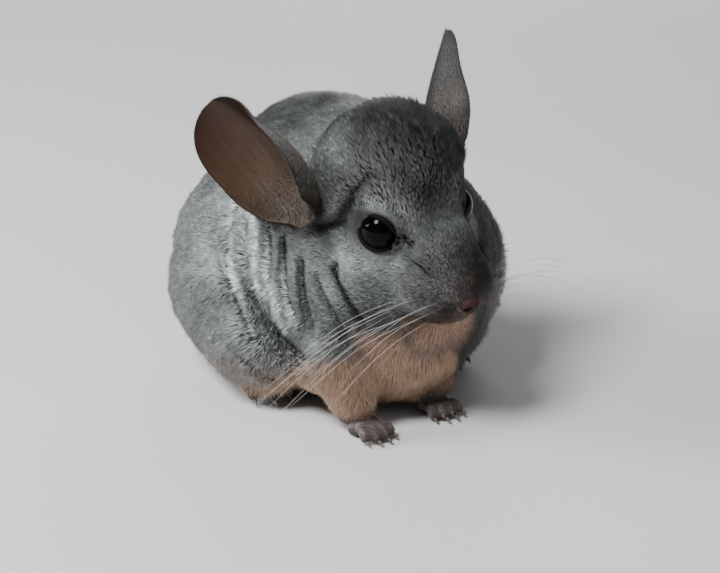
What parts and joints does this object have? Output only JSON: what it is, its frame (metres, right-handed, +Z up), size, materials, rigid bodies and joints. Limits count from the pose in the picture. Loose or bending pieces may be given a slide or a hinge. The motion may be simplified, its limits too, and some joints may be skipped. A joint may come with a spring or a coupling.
{
  "type": "chinchilla",
  "caption": "Life-size still model of a standard grey chinchilla crouching on its feet, head low and turned to its left, large ears raised, bushy tail laid round its side.",
  "frame": {"origin": "on the floor, under the middle of the whole animal's box", "axes": "+Z up, the body faces -Y, +X to the animal's own left"},
  "size_m": [0.1344, 0.173, 0.1197],
  "materials": {
    "coat": "dense short plush fur, silver grey with black tips",
    "pale_coat": "dense short plush fur, cream white",
    "tail_coat": "long coarse fur, dark grey with a pale underside",
    "ear_skin": "thin warm brown skin with very fine pale hairs",
    "eye": "wet black, mirror smooth",
    "nose_skin": "matt pinkish grey skin",
    "foot_skin": "soft pale pinkish grey skin with fine hairs and small horn claws"
  },
  "bodies": {
    "root": {"head": "coat", "nose": "nose_skin", "ear_left": "ear_skin", "ear_right": "ear_skin", "eye_left": "eye", "eye_right": "eye", "foreleg_left": "pale_coat", "foreleg_right": "pale_coat", "forepaw_left": "foot_skin", "forepaw_right": "foot_skin", "hindleg_left": "coat", "hindleg_right": "coat", "hindfoot_left": "foot_skin", "hindfoot_right": "foot_skin", "torso": "coat", "tail_root": "tail_coat", "tail_brush": "tail_coat"}
  },
  "joints": []
}
